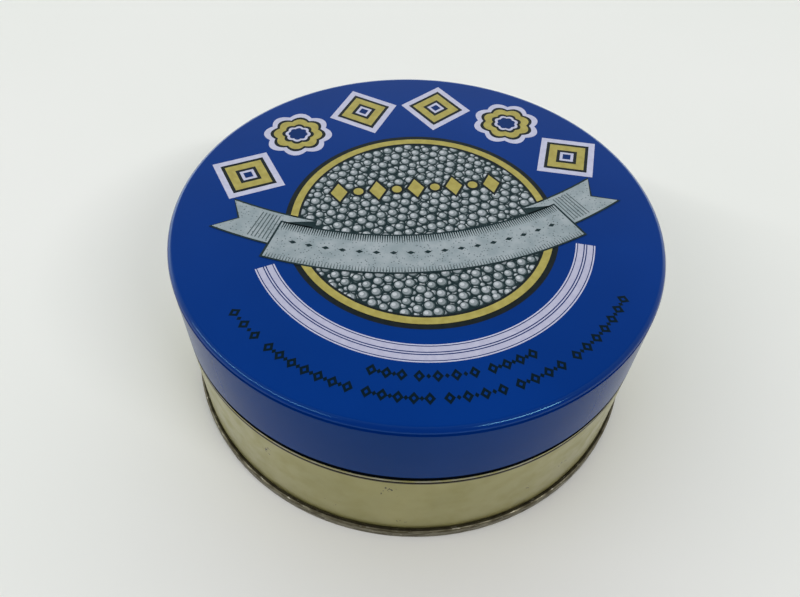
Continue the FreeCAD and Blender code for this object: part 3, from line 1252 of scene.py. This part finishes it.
@dataclass
class Ribbon:
    """A silver-grey ribbon hung across the medallion, its two tails folded back behind it."""

    plane: PrintPlane
    rows: RowPrinter
    level: float = -13.0
    sag: float = 8.0
    reach: float = 36.0
    half: float = 5.8
    tail_start: float = 28.5
    tail_reach: float = 49.5
    tail_half: float = 5.0
    tail_lift: float = 3.4
    notch: float = 4.0
    contour: float = 0.5

    def place(self, across: float, up: float) -> Point:
        """A point of the ribbon's bend.

        Args:
            across: How far it is along the ribbon from its middle, in millimetres.
            up: How far it is above the ribbon's middle line, square to it.

        Returns:
            The point on the lid.
        """
        share = across / self.reach
        slope = 2 * self.sag * share / self.reach
        long = math.hypot(1, slope)
        return (self.plane.middle[0] + across - up * slope / long,
                self.level + self.sag * share * share + up / long)

    def run(self, start: float, end: float, up: float, steps: int = 36) -> list[Point]:
        """Points along the ribbon at one height above its middle line."""
        return [self.place(start + (end - start) * step / steps, up)
                for step in range(steps + 1)]

    def strip(self, start: float, end: float, low: float, high: float) -> list[Point]:
        """Outline of a part of the ribbon between two heights."""
        return [*self.run(start, end, high), *self.run(end, start, low)]

    def tail(self, side: int, margin: float) -> list[Point]:
        """Outline of one tail, notched at its end, grown by a margin."""
        low, high = (self.tail_lift - self.tail_half - margin,
                     self.tail_lift + self.tail_half + margin)
        start, end = side * (self.tail_start - margin), side * (self.tail_reach + margin)
        return [*self.run(start, end, high),
                self.place(side * (self.tail_reach - self.notch + margin), self.tail_lift),
                *self.run(end, start, low)]

    def fold(self, side: int) -> list[Point]:
        """Outline of the dark turn between the ribbon's front and one tail."""
        return [self.place(side * self.tail_start, self.tail_lift + self.tail_half),
                self.place(side * self.reach, self.half),
                self.place(side * self.reach, 0.0),
                self.place(side * self.tail_start, 0.0)]

    def make(self) -> None:
        """Print the tails, their folds and the front, and the engraver's lines on it."""
        lay = self.plane.lay
        lay("ribbon_tail_contours", [self.tail(side, self.contour) for side in (-1, 1)], 12,
            Ink.GROUND)
        lay("ribbon_tails", [self.tail(side, 0.0) for side in (-1, 1)], 13, Ink.SILVER)
        lay("ribbon_folds", [self.fold(side) for side in (-1, 1)], 14, Ink.GROUND)
        ends = self.reach + self.contour
        lay("ribbon_contour", [self.strip(-ends, ends, -self.half - self.contour,
                                          self.half + self.contour)], 14, Ink.GROUND)
        lay("ribbon_front", [self.strip(-self.reach, self.reach, -self.half, self.half)], 15,
            Ink.SILVER)
        self.print_lines()

    def print_lines(self) -> None:
        """Print the shading strokes and the row of small lozenges."""
        inset = self.reach - 0.6
        stroke = [(-0.04, -1.2), (0.04, -1.2), (0.2, 1.15), (-0.2, 1.15)]
        short = [(-0.14, -0.7), (0.14, -0.7), (0.03, 0.8), (-0.03, 0.8)]
        long = [(-0.14, -4.2), (0.14, -4.2), (0.14, 4.2), (-0.14, 4.2)]
        near, far = self.reach + 1.2, self.reach + 5.5
        for name, start, end, up, shape, layer, ink, count in (
                ("upper_strokes", -inset, inset, self.half - 1.0, stroke, 16, Ink.GROUND, 120),
                ("lower_strokes", -inset, inset, 0.75 - self.half, short, 16, Ink.SHADE, 110),
                ("lozenges", 4 - inset, inset - 4, 0.3, lozenge(0.95, 0.55), 16, Ink.GROUND, 17),
                ("left_tail_strokes", -near, -far, self.tail_lift, long, 14, Ink.SHADE, 6),
                ("right_tail_strokes", near, far, self.tail_lift, long, 14, Ink.SHADE, 6)):
            self.rows.lay(f"ribbon_{name}", self.run(start, end, up), [shape], layer, ink, count)


# Studio


@dataclass
class Studio:
    """Plain pale table, soft light from a bright wall behind and two long lamps, and the camera.

    The wall is brightest low down, so that the floor is light while the lid's panel, which
    reflects the wall's upper part, stays a deep blue.
    """

    azimuth: float = math.radians(-10.0)
    elevation: float = math.radians(53.034)
    distance: float = 210.64
    pan: float = -0.0178
    tilt: float = 0.0541
    roll: float = math.radians(3.503)
    lens: float = 31.595
    table_half: float = 3.0
    wall_foot: Rgba = (2.9, 3.0, 2.9, 1.0)
    wall_top: Rgba = (0.9, 1.0, 0.98, 1.0)
    ceiling: Rgba = (0.6, 0.6, 0.592, 1.0)
    front: Rgba = (0.16, 0.155, 0.15, 1.0)

    def make(self) -> None:
        """Build the table, the room, the lamps and the camera."""
        half = self.table_half
        mesh = bpy.data.meshes.new("table")
        mesh.from_pydata([(-half, -half, 0), (half, -half, 0), (half, half, 0), (-half, half, 0)],
                         [], [(0, 1, 2, 3)])
        link_mesh("table", mesh, PaleTable("matt_pale_board").make())
        self.make_room()
        self.soft_light("left_lamp", (-1.43, -0.31, 1.21), (0.47, -0.78, 0.37), (1.85, 0.055), 9.6)
        self.soft_light("right_lamp", (0.88, -1.06, 1.27), (0.37, 0.16, -0.12), (0.8, 0.065), 10.8)
        self.make_camera()

    def make_room(self) -> None:
        """Surround the tin with the bright wall behind, the ceiling and the dim room in front."""
        world = bpy.data.worlds.new("room")
        world.use_nodes = True
        tree = world.node_tree
        tree.nodes.clear()
        facing = add_node(tree, "ShaderNodeTexCoord").outputs["Generated"]
        parts = add_node(tree, "ShaderNodeSeparateXYZ", {0: facing})
        upper, behind, before = (
            add_node(tree, "ShaderNodeMapRange",
                     {"Value": parts.outputs[axis], "From Min": low, "From Max": high}).outputs[0]
            for axis, low, high in (("Z", 0.3, 0.5), ("Y", 0.3, 0.8), ("Y", 0.1, -0.6)))
        wall = paint(tree, self.wall_foot, [(upper, self.wall_top)])
        colour = paint(tree, self.ceiling, [(behind, wall), (before, self.front)])
        background = add_node(tree, "ShaderNodeBackground", {"Color": colour, "Strength": 1.0})
        add_node(tree, "ShaderNodeOutputWorld", {"Surface": background.outputs[0]})
        bpy.context.scene.world = world
        bpy.context.scene.view_settings.view_transform = "Standard"

    def soft_light(self, name: str, place: tuple[float, float, float],
                   run: tuple[float, float, float], size: tuple[float, float],
                   watts: float) -> None:
        """Hang a long soft lamp that faces the tin.

        Args:
            name: The lamp's name.
            place: Its middle, in metres.
            run: Which way its long side goes.
            size: Its length and width, in metres.
            watts: Its power.
        """
        light = bpy.data.lights.new(name, "AREA")
        light.shape = "RECTANGLE"
        light.size, light.size_y = size
        light.energy = watts
        lamp = in_scene(name, light)
        back = Vector(place).normalized()
        rise = back.cross(Vector(run)).normalized()
        lamp.matrix_world = (Matrix.Translation(Vector(place))
                             @ Matrix((rise.cross(back), rise, back)).transposed().to_4x4())

    def make_camera(self) -> None:
        """Set the camera over the front of the tin, looking down at the lid."""
        data = bpy.data.cameras.new("camera")
        data.lens = self.lens
        data.clip_start = 0.01
        camera = in_scene("camera", data)
        camera.matrix_world = (Matrix.Rotation(self.azimuth, 4, "Z")
                               @ Matrix.Rotation(math.pi / 2 - self.elevation, 4, "X")
                               @ Matrix.Translation((0, 0, self.distance * MM))
                               @ Matrix.Rotation(-self.pan, 4, "Y")
                               @ Matrix.Rotation(self.tilt, 4, "X")
                               @ Matrix.Rotation(self.roll, 4, "Z"))
        bpy.context.scene.camera = camera


def main() -> None:
    """Build the studio and the tin's pieces in order, and report each."""
    logging.basicConfig(level=logging.INFO, format="%(name)s: %(message)s")
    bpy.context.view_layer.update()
    Studio().make()
    lid = Lid()
    lid.make()
    LOG.info("lid turned")
    can = Can(lid=lid)
    can.make()
    LOG.info("can turned")
    BottomEnd(wall=can.wall).make()
    LOG.info("bottom end turned")
    plane = PrintPlane(lid.top)
    rows = RowPrinter(plane)
    grains = GrainPrinter(plane)
    for part in (PearlMedallion(plane, grains), StripeArcs(plane), Ribbon(plane, rows),
                 GoldRow(rows), OrnamentArch(rows), SmallPrint(rows)):
        part.make()
        LOG.info("%s printed", type(part).__name__)


if __name__ == "__main__":
    main()
